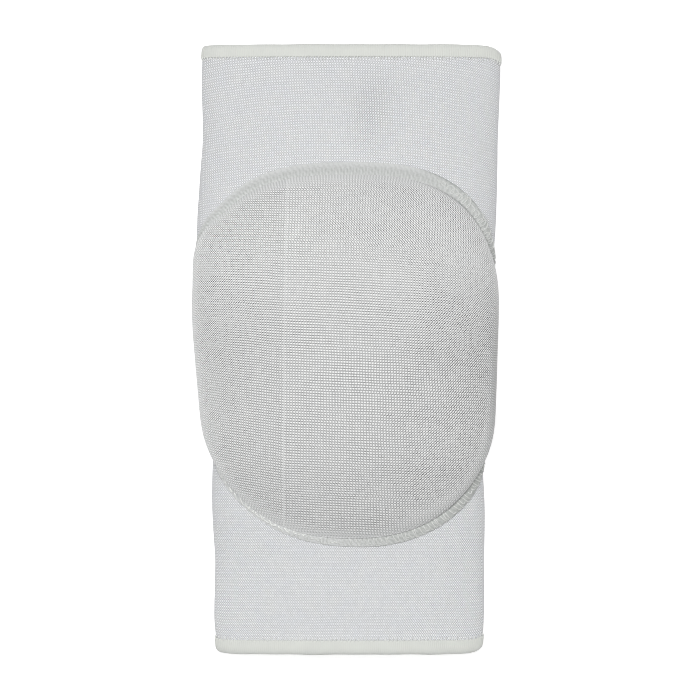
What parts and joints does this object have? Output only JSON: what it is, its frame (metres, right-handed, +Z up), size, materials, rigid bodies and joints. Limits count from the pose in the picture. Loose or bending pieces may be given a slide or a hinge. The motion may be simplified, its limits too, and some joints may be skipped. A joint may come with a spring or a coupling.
{
  "type": "volleyball knee pad",
  "caption": "Pull-on knee pad: a knitted tube, open at both hemmed ends, with a thick rounded foam pad sewn on its front.",
  "frame": {"origin": "on the surface it lies on, below the middle of the whole part", "axes": "+Z up out of the front of the pad, +Y to the thigh end, +X to the right in the picture"},
  "size_m": [0.1215, 0.24, 0.0535],
  "materials": {
    "sleeve_knit": "fine white ribbed knit, matt, a little cool",
    "hem_binding": "smooth cream-white elastic binding with fine cross ribs, matt",
    "pad_knit": "white knit of small raised loops in straight rows and columns, matt",
    "seam_yarn": "soft white overlock yarn, looped side by side, matt"
  },
  "bodies": {
    "root": {"knit_sleeve": "sleeve_knit", "thigh_hem": "hem_binding", "calf_hem": "hem_binding", "knee_pad": "pad_knit", "pad_seam_band": "seam_yarn"}
  },
  "joints": []
}
